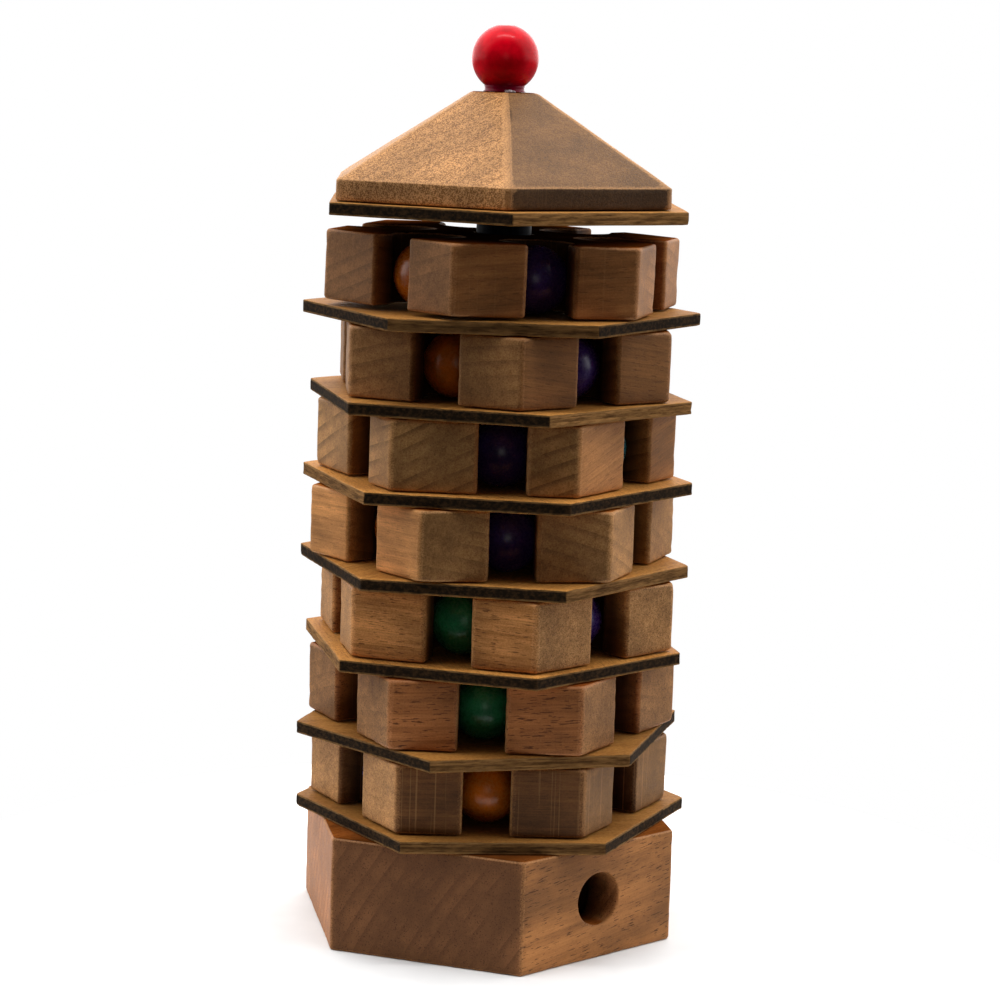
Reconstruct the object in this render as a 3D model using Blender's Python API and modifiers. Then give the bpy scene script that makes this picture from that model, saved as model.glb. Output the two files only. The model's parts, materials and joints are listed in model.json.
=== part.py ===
"""Rotating pagoda puzzle: seven hexagonal ball rings that turn on a fixed post.

Wooden divider plates and slotted hexagonal rotors alternate on a central post,
between a hexagonal base and a fixed hexagonal roof with a round finial.
Each rotor has six ball pockets. A ball drops to the next ring through the hole
in a divider plate, and a recess in the base holds one spare ball.

Metres, +Z up. The origin is the centre of the base's underside.
A turn is an angle about +Z, in degrees: at zero a hexagon has a corner at -Y.
A direction of D degrees points from the axis to (sin D, -cos D).
Hand-made wooden layers don't sit true, so each one has a small shift: how far
along X the middle of its outline lies off the axis that its bore turns on.
"""

import math

import bmesh
import bpy
from mathutils import Matrix, Vector

MM = 0.001
GAP = 0.3 * MM              # free space between neighbouring pieces
SIDES = 6
SECTOR = 360.0 / SIDES      # degrees from one hexagon corner to the next

# Stack
LEVELS = 7
PLATE_THICKNESS = 3.0 * MM
PLATE_RADIUS = 48.0 * MM
ROTOR_HEIGHT = 16.6 * MM
LEVEL_PITCH = PLATE_THICKNESS + ROTOR_HEIGHT + 2.0 * GAP
EDGE_ROUND = 0.8 * MM

# Balls, their pockets in the rotors and their way through the plates
BALL_RADIUS = 8.0 * MM
BALL_RING_RADIUS = 25.7 * MM
POCKET_RADIUS = 8.35 * MM
SLOT_WIDTH = 11.15 * MM

# Base
BASE_RADIUS = 48.0 * MM
BASE_HEIGHT = 27.5 * MM
BASE_TURN = -49.0
RECESS_FLOOR = 6.5 * MM
WINDOW_RADIUS = 6.35 * MM
WINDOW_HEIGHT = RECESS_FLOOR + BALL_RADIUS

# Post
POST_RADIUS = 6.6 * MM
BORE_RADIUS = POST_RADIUS + GAP
POST_FOOT = 8.0 * MM
POST_TOP = 195.0 * MM

# Roof
ROOF_CLEARANCE = 5.1 * MM
ROOF_TURN = -58.0
ROOF_SHIFT = -0.9 * MM
ROOF_PLATE_SHIFT = 0.3 * MM
ROOF_RADIUS = 44.9 * MM
ROOF_SLAB = 4.7 * MM
ROOF_SLOPE = 20.7 * MM
ROOF_CROWN_RADIUS = 8.9 * MM

# Finial
KNOB_RADIUS = 8.0 * MM
KNOB_NECK_RADIUS = 4.9 * MM
PEG_RADIUS = 1.7 * MM
PEG_BORE_RADIUS = PEG_RADIUS + GAP
PEG_IN_ROOF = 6.0 * MM
PEG_BELOW_KNOB_TOP = 0.9 * MM

# Each divider plate, from the bottom level up: turn and shift
PLATES = (
    (-25.5, 0.9 * MM),
    (-16.0, 0.0 * MM),
    (-46.5, -0.5 * MM),
    (-39.0, -0.4 * MM),
    (-39.0, -0.2 * MM),
    (-45.5, -0.3 * MM),
    (-32.5, 0.0 * MM),
)

# Each rotor, from the bottom level up: turn, shift, radius, and how far its
# pockets are drilled round from the middle of its sides
ROTORS = (
    (-29.0, 0.2 * MM, 44.0 * MM, -1.0),
    (-31.5, 0.2 * MM, 45.0 * MM, -1.0),
    (-47.0, 0.2 * MM, 45.2 * MM, 2.0),
    (-22.0, -0.4 * MM, 44.7 * MM, -1.5),
    (-33.5, -0.5 * MM, 43.7 * MM, 5.5),
    (-54.0, 0.3 * MM, 43.7 * MM, 1.0),
    (-15.5, 0.4 * MM, 43.9 * MM, 2.5),
)

# Ball colours of each level, from the bottom up, one letter for each pocket
# in turn; a dash is an empty pocket
BALL_COLOURS = ("BORY-G", "YGPROB", "RGPB-Y", "OPGRYB", "YPTORG", "TOPBTG", "OPRTBG")

PLATE_HOLE_DIRECTION = SECTOR * 3.5
COLOUR_OF_LETTER = {
    "O": ("orange", (0.80, 0.30, 0.03)),
    "P": ("purple", (0.16, 0.04, 0.16)),
    "G": ("green", (0.03, 0.25, 0.10)),
    "R": ("red", (0.60, 0.01, 0.02)),
    "B": ("blue", (0.03, 0.08, 0.40)),
    "Y": ("yellow", (0.85, 0.60, 0.05)),
    "T": ("teal", (0.02, 0.22, 0.26)),
}

ROUND_SEGMENTS = 32
POCKET_SEGMENTS = 24
CUTTER_MARGIN = 2.0 * MM

STACK_FOOT = BASE_HEIGHT + GAP
ROOF_PLATE_FOOT = STACK_FOOT + LEVELS * LEVEL_PITCH - GAP + ROOF_CLEARANCE
ROOF_FOOT = ROOF_PLATE_FOOT + PLATE_THICKNESS + GAP
ROOF_TOP = ROOF_FOOT + ROOF_SLAB + ROOF_SLOPE
KNOB_FOOT = ROOF_TOP + GAP
KNOB_CENTRE = KNOB_FOOT + 7.75 * MM


def clear_scene():
    """Remove whatever the open file holds."""
    for item in list(bpy.data.objects):
        bpy.data.objects.remove(item, do_unlink=True)


def new_collection(name, parent):
    collection = bpy.data.collections.new(name)
    parent.children.link(collection)
    return collection


def new_material(name, colour, roughness, metallic=0.0):
    material = bpy.data.materials.new(name)
    material.use_nodes = True
    shader = material.node_tree.nodes["Principled BSDF"]
    shader.inputs["Base Color"].default_value = (*colour, 1.0)
    shader.inputs["Roughness"].default_value = roughness
    shader.inputs["Metallic"].default_value = metallic
    material.diffuse_color = (*colour, 1.0)
    return material


def mesh_from(name, mesh_maker, *args):
    """Fill a new mesh from one of the bmesh makers below."""
    shape = bmesh.new()
    mesh_maker(shape, *args)
    mesh = bpy.data.meshes.new(name)
    shape.to_mesh(mesh)
    shape.free()
    return mesh


def prism(shape, radius, height, sides=SIDES, centre=(0.0, 0.0)):
    """An upright prism whose foot is at height zero."""
    place = Matrix.Translation((centre[0], centre[1], 0.5 * height))
    bmesh.ops.create_cone(
        shape, cap_ends=True, cap_tris=False, segments=sides,
        radius1=radius, radius2=radius, depth=height, matrix=place)


def off_axis(shift, turn):
    """Where a point shifted along X lies before its piece is turned about +Z."""
    angle = math.radians(turn)
    return shift * math.cos(angle), -shift * math.sin(angle)


def roof(shape):
    """A hexagonal slab whose top is drawn up to a small flat crown."""
    prism(shape, ROOF_RADIUS, ROOF_SLAB)
    shape.faces.ensure_lookup_table()
    top = max(shape.faces, key=lambda face: face.calc_center_median().z)
    raised = bmesh.ops.extrude_discrete_faces(shape, faces=[top])["faces"][0]
    shrink = ROOF_CROWN_RADIUS / ROOF_RADIUS
    bmesh.ops.scale(shape, vec=(shrink, shrink, 1.0), verts=raised.verts)
    bmesh.ops.translate(shape, vec=(0.0, 0.0, ROOF_SLOPE), verts=raised.verts)
    bmesh.ops.translate(shape, vec=(*off_axis(ROOF_SHIFT, ROOF_TURN), 0.0), verts=shape.verts)


def slot(shape):
    """The cutter that opens a pocket to the outside, towards -Y."""
    reach = PLATE_RADIUS - BALL_RING_RADIUS
    size = Matrix.Diagonal((SLOT_WIDTH, reach, ROTOR_HEIGHT + 2.0 * CUTTER_MARGIN, 1.0))
    middle = (0.0, -BALL_RING_RADIUS - 0.5 * reach, 0.5 * ROTOR_HEIGHT)
    bmesh.ops.create_cube(shape, size=1.0, matrix=Matrix.Translation(middle) @ size)


def side_bore(shape, radius, start, length, height):
    """A level cylinder along -Y, from start to start plus length off the axis."""
    turn = Matrix.Rotation(math.radians(90.0), 4, "X")
    middle = Matrix.Translation((0.0, -start - 0.5 * length, height))
    bmesh.ops.create_cone(
        shape, cap_ends=True, segments=ROUND_SEGMENTS,
        radius1=radius, radius2=radius, depth=length, matrix=middle @ turn)


def ball(shape):
    bmesh.ops.create_icosphere(shape, subdivisions=2, radius=BALL_RADIUS)


def add_object(name, mesh, collection, foot=0.0, turn=0.0, parent=None):
    """Place a mesh on the axis, at height foot, turned about +Z."""
    item = bpy.data.objects.new(name, mesh)
    item.location = (0.0, 0.0, foot)
    item.rotation_euler = (0.0, 0.0, math.radians(turn))
    item.parent = parent
    collection.objects.link(item)
    return item


def paint(item, material):
    item.data.materials.clear()
    item.data.materials.append(material)


def round_edges(item, width, segments=1):
    bevel = item.modifiers.new("rounded edges", "BEVEL")
    bevel.width = width
    bevel.segments = segments
    bevel.limit_method = "ANGLE"


def shade_round(mesh):
    mesh.shade_smooth()
    mesh.set_sharp_from_angle(angle=math.radians(40.0))


def cut(item, cutters):
    """Subtract every object of the collection named cutters."""
    boolean = item.modifiers.new("cuts", "BOOLEAN")
    boolean.operation = "DIFFERENCE"
    boolean.solver = "EXACT"
    boolean.operand_type = "COLLECTION"
    boolean.collection = cutters


def add_cutter(name, mesh, cutters, foot=0.0, turn=0.0, parent=None):
    cutter = add_object(name, mesh, cutters, foot, turn, parent)
    cutter.hide_render = True
    cutter.display_type = "WIRE"
    return cutter


def pocket_directions(skew):
    """Directions of a rotor's pockets, from its own zero turn."""
    return [skew - 0.5 * SECTOR + SECTOR * index for index in range(SIDES)]


def build_base(parts, all_cutters, wood):
    base = add_object("base_block", mesh_from("base_block", prism, BASE_RADIUS, BASE_HEIGHT),
                      parts, turn=BASE_TURN)
    paint(base, wood)
    round_edges(base, EDGE_ROUND)

    cutters = new_collection("base cutters", all_cutters)
    depth = BASE_HEIGHT - POST_FOOT + GAP + CUTTER_MARGIN
    socket = mesh_from("post socket", prism, BORE_RADIUS, depth, ROUND_SEGMENTS)
    add_cutter("post_socket", socket, cutters, POST_FOOT - GAP)

    window_side = BASE_TURN + 1.5 * SECTOR
    recess_depth = BASE_HEIGHT - RECESS_FLOOR + CUTTER_MARGIN
    recess = mesh_from("ball recess", prism, POCKET_RADIUS, recess_depth, POCKET_SEGMENTS,
                       (0.0, -BALL_RING_RADIUS))
    add_cutter("ball_recess", recess, cutters, RECESS_FLOOR, window_side)
    window = mesh_from("ball window", side_bore, WINDOW_RADIUS, BALL_RING_RADIUS,
                       BASE_RADIUS - BALL_RING_RADIUS, WINDOW_HEIGHT)
    add_cutter("ball_window", window, cutters, 0.0, window_side)
    cut(base, cutters)


def build_plate(name, foot, turn, shift, parts, cutters, plywood):
    mesh = mesh_from(name, prism, PLATE_RADIUS, PLATE_THICKNESS, SIDES, off_axis(shift, turn))
    plate = add_object(name, mesh, parts, foot, turn)
    paint(plate, plywood)
    cut(plate, cutters)
    return plate


def build_plates(parts, all_cutters, plywood):
    through = PLATE_THICKNESS + 2.0 * CUTTER_MARGIN
    bore_mesh = mesh_from("plate bore", prism, BORE_RADIUS, through, ROUND_SEGMENTS)
    hole_mesh = mesh_from("ball hole", prism, POCKET_RADIUS, through, POCKET_SEGMENTS,
                          (0.0, -BALL_RING_RADIUS))
    for level, (turn, shift) in enumerate(PLATES):
        foot = STACK_FOOT + level * LEVEL_PITCH
        cutters = new_collection(f"plate {level + 1} cutters", all_cutters)
        plate = build_plate(f"plate_{level + 1}", foot, turn, shift, parts, cutters, plywood)
        add_cutter(f"plate_bore_{level + 1}", bore_mesh, cutters, -CUTTER_MARGIN, 0.0, plate)
        add_cutter(f"ball_hole_{level + 1}", hole_mesh, cutters, -CUTTER_MARGIN,
                   PLATE_HOLE_DIRECTION, plate)

    cutters = new_collection("roof plate cutters", all_cutters)
    roof_plate = build_plate("roof_plate", ROOF_PLATE_FOOT, ROOF_TURN, ROOF_PLATE_SHIFT,
                             parts, cutters, plywood)
    add_cutter("roof_plate_bore", bore_mesh, cutters, -CUTTER_MARGIN, 0.0, roof_plate)


def build_rotor(level, parts, all_cutters, wood, tools):
    """One slotted ring; returns the rotor and its pockets' directions."""
    turn, shift, radius, skew = ROTORS[level]
    number = level + 1
    foot = STACK_FOOT + level * LEVEL_PITCH + PLATE_THICKNESS + GAP
    mesh = mesh_from(f"rotor_{number}", prism, radius, ROTOR_HEIGHT, SIDES,
                     off_axis(shift, turn))
    rotor = add_object(f"rotor_{number}", mesh, parts, foot, turn)
    paint(rotor, wood)
    round_edges(rotor, EDGE_ROUND)

    cutters = new_collection(f"rotor {number} cutters", all_cutters)
    add_cutter(f"rotor_bore_{number}", tools["bore"], cutters, -CUTTER_MARGIN, 0.0, rotor)
    directions = pocket_directions(skew)
    for index, direction in enumerate(directions, start=1):
        add_cutter(f"pocket_{number}_{index}", tools["pocket"], cutters,
                   -CUTTER_MARGIN, direction, rotor)
        add_cutter(f"slot_{number}_{index}", tools["slot"], cutters, 0.0, direction, rotor)
    cut(rotor, cutters)
    return rotor, directions


def build_balls(level, rotor, directions, parts, mesh, colours):
    """The level's balls, each lying in the middle of its pocket."""
    for index, letter in enumerate(BALL_COLOURS[level]):
        if letter == "-":
            continue
        item = bpy.data.objects.new(f"ball_{level + 1}_{index + 1}", mesh.copy())
        angle = math.radians(directions[index])
        item.location = Vector((math.sin(angle), -math.cos(angle), 0.0)) * BALL_RING_RADIUS
        item.location.z = BALL_RADIUS
        item.parent = rotor
        parts.objects.link(item)
        paint(item, colours[letter])


def build_levels(parts, all_cutters, wood):
    through = ROTOR_HEIGHT + 2.0 * CUTTER_MARGIN
    tools = {
        "bore": mesh_from("rotor bore", prism, BORE_RADIUS, through, ROUND_SEGMENTS),
        "pocket": mesh_from("pocket", prism, POCKET_RADIUS, through, POCKET_SEGMENTS,
                            (0.0, -BALL_RING_RADIUS)),
        "slot": mesh_from("slot", slot),
    }
    colours = {
        letter: new_material(f"{name} ball", colour, 0.3)
        for letter, (name, colour) in COLOUR_OF_LETTER.items()
    }
    ball_mesh = mesh_from("ball", ball)
    ball_mesh.shade_smooth()
    for level in range(LEVELS):
        rotor, directions = build_rotor(level, parts, all_cutters, wood, tools)
        build_balls(level, rotor, directions, parts, ball_mesh, colours)


def build_post(parts, dark_wood):
    height = POST_TOP - POST_FOOT
    mesh = mesh_from("central_post", prism, POST_RADIUS, height, ROUND_SEGMENTS)
    shade_round(mesh)
    paint(add_object("central_post", mesh, parts, POST_FOOT), dark_wood)


def build_roof(parts, all_cutters, wood):
    block = add_object("roof_block", mesh_from("roof_block", roof), parts, ROOF_FOOT, ROOF_TURN)
    paint(block, wood)

    cutters = new_collection("roof cutters", all_cutters)
    socket_depth = POST_TOP + GAP - ROOF_FOOT + CUTTER_MARGIN
    socket = mesh_from("roof socket", prism, BORE_RADIUS, socket_depth, ROUND_SEGMENTS)
    add_cutter("roof_socket", socket, cutters, ROOF_FOOT - CUTTER_MARGIN)
    peg_depth = PEG_IN_ROOF + CUTTER_MARGIN
    peg_hole = mesh_from("peg hole", prism, PEG_BORE_RADIUS, peg_depth, POCKET_SEGMENTS)
    hole = add_cutter("peg_hole", peg_hole, cutters, ROOF_TOP - PEG_IN_ROOF)
    hole.location.x = ROOF_SHIFT
    cut(block, cutters)


def knob_profile():
    """Points down the knob's outer side, from its crown to its neck's foot."""
    steps = 14
    neck_angle = math.asin(KNOB_NECK_RADIUS / KNOB_RADIUS)
    first = math.asin(PEG_BORE_RADIUS / KNOB_RADIUS)
    points = []
    for step in range(steps + 1):
        angle = first + (math.pi - neck_angle - first) * step / steps
        points.append((KNOB_RADIUS * math.sin(angle), KNOB_RADIUS * math.cos(angle)))
    foot = KNOB_FOOT - KNOB_CENTRE
    points.append((KNOB_NECK_RADIUS, foot))
    points.append((PEG_BORE_RADIUS, foot))
    return points


def turned(shape, points):
    """A profile in the XZ plane, ready for a Screw modifier."""
    corners = [shape.verts.new((radius, 0.0, height)) for radius, height in points]
    for index, corner in enumerate(corners):
        shape.edges.new((corner, corners[(index + 1) % len(corners)]))


def build_finial(parts, red, wood):
    mesh = mesh_from("finial_knob", turned, knob_profile())
    knob = add_object("finial_knob", mesh, parts, KNOB_CENTRE)
    knob.location.x = ROOF_SHIFT
    paint(knob, red)
    screw = knob.modifiers.new("turned", "SCREW")
    screw.steps = POCKET_SEGMENTS
    screw.render_steps = POCKET_SEGMENTS
    screw.use_merge_vertices = True
    screw.merge_threshold = 0.00001

    foot = ROOF_TOP - PEG_IN_ROOF + GAP
    top = KNOB_CENTRE + KNOB_RADIUS - PEG_BELOW_KNOB_TOP
    peg_mesh = mesh_from("finial_peg", prism, PEG_RADIUS, top - foot, POCKET_SEGMENTS)
    shade_round(peg_mesh)
    peg = add_object("finial_peg", peg_mesh, parts, foot)
    peg.location.x = ROOF_SHIFT
    paint(peg, wood)


def main():
    clear_scene()
    root = bpy.context.scene.collection
    parts = new_collection("rotating pagoda puzzle", root)
    cutters = new_collection("cutters", root)

    stained = new_material("stained hardwood", (0.23, 0.10, 0.04), 0.5)
    plywood = new_material("stained plywood", (0.45, 0.24, 0.10), 0.55)
    dark = new_material("dark varnished wood", (0.03, 0.03, 0.04), 0.25)
    red = new_material("red lacquer", (0.55, 0.01, 0.02), 0.2)
    pale = new_material("pale peg wood", (0.65, 0.48, 0.30), 0.6)

    build_base(parts, cutters, stained)
    build_post(parts, dark)
    build_plates(parts, cutters, plywood)
    build_levels(parts, cutters, stained)
    build_roof(parts, cutters, stained)
    build_finial(parts, red, pale)


main()
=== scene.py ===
import json
import math
import random

import bmesh
import bpy
from mathutils import Matrix, Vector, noise


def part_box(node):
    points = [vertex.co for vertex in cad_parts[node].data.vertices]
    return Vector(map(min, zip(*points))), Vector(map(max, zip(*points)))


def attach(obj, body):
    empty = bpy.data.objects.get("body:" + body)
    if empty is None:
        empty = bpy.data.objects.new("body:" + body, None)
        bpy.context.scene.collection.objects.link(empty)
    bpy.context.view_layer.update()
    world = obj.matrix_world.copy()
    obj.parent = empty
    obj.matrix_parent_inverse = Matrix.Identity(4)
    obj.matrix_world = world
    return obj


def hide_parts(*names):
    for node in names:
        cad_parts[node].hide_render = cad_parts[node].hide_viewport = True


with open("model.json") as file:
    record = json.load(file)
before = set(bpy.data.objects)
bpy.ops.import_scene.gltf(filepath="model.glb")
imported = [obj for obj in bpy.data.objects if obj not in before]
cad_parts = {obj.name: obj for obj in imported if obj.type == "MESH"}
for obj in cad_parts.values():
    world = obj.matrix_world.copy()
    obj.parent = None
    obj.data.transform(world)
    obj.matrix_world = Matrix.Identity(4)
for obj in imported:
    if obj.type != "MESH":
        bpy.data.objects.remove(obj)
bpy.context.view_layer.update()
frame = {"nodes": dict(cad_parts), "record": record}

MM = 0.001
SECTOR = 60.0
LEVELS = range(1, 8)

# Rounding, wear and unevenness of the wooden pieces
ROTOR_TIP = 1.7 * MM        # radius of a rotor's upright corners
SLOT_TIP = 1.1 * MM         # radius of the upright edges beside a slot
ROTOR_ROUND = 0.9 * MM
SLOT_ROUND = 0.65 * MM
PLATE_ROUND = 0.25 * MM
BLOCK_ROUND = 0.7 * MM
PLATE_TIP = 0.7 * MM        # radius of a plate's corners, seen from above
BLOCK_TIP = 0.9 * MM
ROOF_TIP = 1.7 * MM
ROOF_ROUND = 0.55 * MM
BALL_FLAT = 0.16            # radius of the flats at a ball's poles, as a share of its own
ROUND_STEPS = (0.0, 30.0, 60.0, 90.0)
WORN_BAND = 1.0 * MM
TRACE_STEP = 1.2 * MM
ROW_STEP = 2.2 * MM
WARP_SIZE = 11.0 * MM
WARP_DEPTH = 0.11 * MM
NICK_SIZE = 1.6 * MM
NICK_DEPTH = 0.34 * MM
NOISE_SEED = 11             # without a seed, the noise starts from the clock and each run differs
PLATE_SEED = 20             # a plate's is this plus its number, and a rotor's is its level
BASE_SEED = 40
ROOF_SEED = 50
TABLE_CLEARANCE = 0.005 * MM
SETTLE = 0.20 * MM          # how far a loose piece is let down onto the one under it

# Each hexagon's sides are counted from the corner nearest to this direction
PLATE_CORNER = -40.0
BASE_CORNER = -49.0
ROOF_CORNER = -58.0

# Openings that the CAD model gives its wooden pieces
SLOT_WIDTH = 11.15 * MM
POCKET_CLEARANCE = 0.35 * MM
BORE_CLEARANCE = 0.3 * MM
WINDOW_RADIUS = 6.35 * MM
WINDOW_HEIGHT = 14.5 * MM
RECESS_FLOOR = 6.5 * MM
RIM_CHAMFER = 0.35 * MM
NECK_RADIUS = 4.9 * MM
KNOB_SETTLE = 0.2 * MM      # the knob's middle is this much above where its box puts it

# Dried glue round the knob: its offset from the neck's axis at the crown, size and seed
GLUE = {
    "glue_at_neck": ((1.3 * MM, -4.95 * MM, 0.25 * MM), (1.3 * MM, 0.45 * MM, 0.38 * MM), 1.0),
    "glue_on_crown": ((6.6 * MM, -3.9 * MM, -0.1 * MM), (0.8 * MM, 0.4 * MM, 0.22 * MM), 2.0),
}

# Colours, linear, and the gloss of the paint
RED_LACQUER = (0.74, 0.0015, 0.012)
KNOB_ROUGHNESS = 0.15
KNOB_SPECULAR = 0.08
KNOB_NECK_SHADE = (1.0, 2.6)      # painted shade on the neck under the ball: the paint darkens downwards between these heights, in mm
BALL_ROUGHNESS = 0.27
BALL_SPECULAR = 0.36
POST_VARNISH = (0.006, 0.007, 0.012)
BALL_COLOURS = {
    "ball_orange": (0.46, 0.108, 0.004),
    "ball_purple": (0.046, 0.019, 0.140),
    "ball_green": (0.018, 0.175, 0.066),
    "ball_red": (0.42, 0.006, 0.010),
    "ball_blue": (0.010, 0.030, 0.230),
    "ball_yellow": (0.62, 0.340, 0.015),
    "ball_teal": (0.006, 0.090, 0.110),
}

# Each rotor's wood, from the bottom level up, and then the base's and the roof's: the side
# whose face runs along the grain (side 0 is the one just left of the corner that is at -Y at
# zero turn), the grain's slope in degrees, tone and redness along the grain, tone and redness
# of the end grain, pores, saw marks, how speckled the wood is and how strong its growth rings
ROTOR_WOOD = {
    1: (1, 0.0, 0.48, 0.15, 1.08, 0.05, 0.3, 1.0, 0.50, 0.06),
    2: (1, 3.0, 1.00, 0.38, 0.78, 0.15, 1.0, 0.2, 0.10, 0.10),
    3: (1, -2.0, 1.45, 0.05, 1.22, 0.05, 0.9, 0.0, 0.45, 0.04),
    4: (0, 2.0, 1.36, 0.00, 0.98, 0.05, 0.4, 0.1, 0.00, 0.16),
    5: (2, 16.0, 1.26, 0.05, 1.06, 0.00, 0.4, 0.1, -0.10, 0.27),
    6: (2, -9.0, 0.90, 0.10, 0.93, 0.12, 0.5, 0.1, -0.20, 0.16),
    7: (1, 4.0, 0.98, 0.20, 0.78, 0.25, 0.4, 0.3, -0.10, 0.16),
}
BASE_WOOD = (2, 7.0, 1.00, 0.12, 0.80, 0.45, 1.0, 0.0, -0.50, 0.16)
ROOF_WOOD = (2, 36.0, 0.80, 0.00, 1.16, 0.08, 0.3, 0.2, 1.25, 0.04)
BASE_HEART = (60.0, 28.0)   # where the middle of the base's growth rings lies
ROOF_GRAIN_TURN = -12.0     # how far round from its side the roof's grain runs
ROOF_END_BAND = (0.02, 0.06)
BASE_WOOD_SEED = 12
ROOF_WOOD_SEED = 13

# How light the stain came out on each rotor's sides 0, 1 and 2, and on the sides across
SIDE_STAIN = {
    1: (1.00, 0.78, 0.54),
    2: (0.85, 1.00, 0.90),
    3: (1.00, 1.08, 0.74),
    4: (1.27, 0.80, 1.07),
    5: (1.00, 0.88, 0.97),
    6: (0.90, 0.88, 0.75),
    7: (0.80, 0.94, 1.30),
}
BASE_STAIN = (1.12, 0.46, 1.00)
ROOF_STAIN = (1.00, 0.98, 0.42)
ROOF_SLAB_STAIN = (0.90, 0.92, 0.19)
INNER_SHADE = 0.24          # painted shade inside slots, pockets and bores: how light the wood is kept there, as a share
INNER_SHADE_START = 0.8 * MM      # how deep inside the outline the painted shade begins, and how far it takes
INNER_SHADE_REACH = 3.5 * MM
# Upward faces made darker and warmer: oil-darkened wood, and painted shade where they lie under
# the plates
TOP_STAIN_AND_SHADE = (0.74, 0.52, 0.34)
STAIN_BLEND = 0.8 * MM      # how far round a corner one side's stain reaches

# The top rotor lies askew on its plate: its rise, and the direction of its raised side
LOOSE_RISE = 0.015
LOOSE_SIDE = -112.0

# Each divider plate's wood: the side that lies along its face grain, how light its faces
# are and how light its edges are
PLATE_WOOD = {
    1: (1, 0.78, 0.52),
    2: (1, 0.80, 0.75),
    3: (0, 1.15, 1.00),
    4: (2, 1.05, 0.75),
    5: (0, 1.30, 0.85),
    6: (2, 1.00, 1.10),
    7: (1, 0.92, 0.70),
}
ROOF_PLATE_WOOD = (2, 1.00, 1.25)

# Camera
CAMERA_PLACE = (0.0, -653.3 * MM, 209.1 * MM)
CAMERA_PITCH = 9.09
CAMERA_YAW = 0.092
CAMERA_ROLL = 1.767
CAMERA_LENS = 97.88
SENSOR_WIDTH = 36.0

# Light: how far round to the front the tent reaches (-1 is the camera's side), and strengths
TENT_FRONT = -0.55
TENT_BACK = -0.10
ROOM_LIGHT = 0.02
TENT_LIGHT = 2.5
TABLE_LIGHT = 0.12          # how strong the tent's light is from below the horizon, as a share
HORIZON = (-0.15, 0.05)
CEILING_PLACE = (0.0, -0.15, 1.3)
CEILING_AIM = (0.0, 0.0, 0.15)
CEILING_SIZE = (0.85, 0.05)
CEILING_POWER = 6.0
WINDOW_PLACE = (0.1, -2.2, 0.5)
WINDOW_AIM = (0.0, 0.0, 0.12)
WINDOW_SIZE = (0.70, 0.80)
WINDOW_POWER = 1.45
WINDOW_COLOUR = (1.0, 0.94, 0.84)
FLOOR_RADIUS = 150.0 * MM


# ---------------------------------------------------------------- measuring the frame

def direction(turn):
    """The unit vector that a turn of zero points to -Y, and that turns with +Z."""
    angle = math.radians(turn)
    return Vector((math.sin(angle), -math.cos(angle)))


def middle_of(node):
    low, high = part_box(node)
    return (Vector(low) + Vector(high)) * 0.5


def hexagon_of(node):
    """(middle, radius, turn in degrees, lowest, highest) of a hexagonal node."""
    low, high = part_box(node)
    middle = middle_of(node).to_2d()
    points = [vertex.co.to_2d() - middle for vertex in frame["nodes"][node].data.vertices]
    reach = max(point.length for point in points)
    turns = [math.atan2(p.x, -p.y) for p in points if p.length > reach - 0.02 * MM]
    tips = sum(complex(math.cos(6.0 * turn), math.sin(6.0 * turn)) for turn in turns)
    turn = math.degrees(math.atan2(tips.imag, tips.real)) / 6.0
    side = direction(turn + 0.5 * SECTOR)
    radius = max(point.dot(side) for point in points) / math.cos(math.radians(0.5 * SECTOR))
    return middle, radius, turn, low[2], high[2]


def side_turn(turn, side):
    """Direction that a hexagon's side faces, counted from the side left of its corner."""
    return turn + SECTOR * (side - 0.5)


def same_corner(turn, wanted):
    """The same hexagon's turn, counted from the corner nearest to the wanted turn."""
    return turn + SECTOR * round((wanted - turn) / SECTOR)


def balls_of(level):
    return sorted(name for name in frame["nodes"] if name.startswith(f"ball_{level}_"))


# ---------------------------------------------------------------- outlines

def arc(middle, radius, first, last, count):
    """Points from one direction to another round a middle, both ends included."""
    turns = [first + (last - first) * step / (count - 1) for step in range(count)]
    return [middle + direction(turn) * radius for turn in turns]


def circle(radius, count=72):
    """A round hole's edge, run the other way round from an outline."""
    points = arc(Vector((0.0, 0.0)), radius, 360.0, 360.0 / count, count)
    return [(point, SLOT_ROUND, 0.0) for point in points]


def fillet(before, corner, after, radius):
    """An arc of six points that rounds a corner."""
    back = (before - corner).normalized()
    ahead = (after - corner).normalized()
    half = 0.5 * back.angle(ahead)
    middle = corner + (back + ahead).normalized() * radius / math.sin(half)
    start = corner + back * radius / math.tan(half)
    end = corner + ahead * radius / math.tan(half)
    spokes = [(start - middle).lerp(end - middle, step / 5.0) for step in range(6)]
    return [middle + spoke.normalized() * radius for spoke in spokes]


def trace(corners):
    """Corners of (point, fillet, rounding, wear) to a closed, evenly filled outline."""
    path = []
    for index, (corner, radius, rounding, wear) in enumerate(corners):
        if radius > 0.0:
            before = corners[index - 1][0]
            after = corners[(index + 1) % len(corners)][0]
            path += [(point, rounding, wear) for point in fillet(before, corner, after, radius)]
        else:
            path.append((corner, rounding, wear))
    filled = []
    for index, (point, rounding, wear) in enumerate(path):
        following, next_rounding, _ = path[(index + 1) % len(path)]
        count = max(1, round((following - point).length / TRACE_STEP))
        filled.append((point, rounding, wear))
        for step in range(1, count):
            share = step / count
            filled.append((point.lerp(following, share),
                           rounding + (next_rounding - rounding) * share, 0.0))
    return filled


def hexagon(middle, radius, turn, tip, rounding):
    corners = [(middle + direction(turn + SECTOR * index) * radius, tip, rounding, 1.0)
               for index in range(6)]
    return trace(corners)


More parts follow.
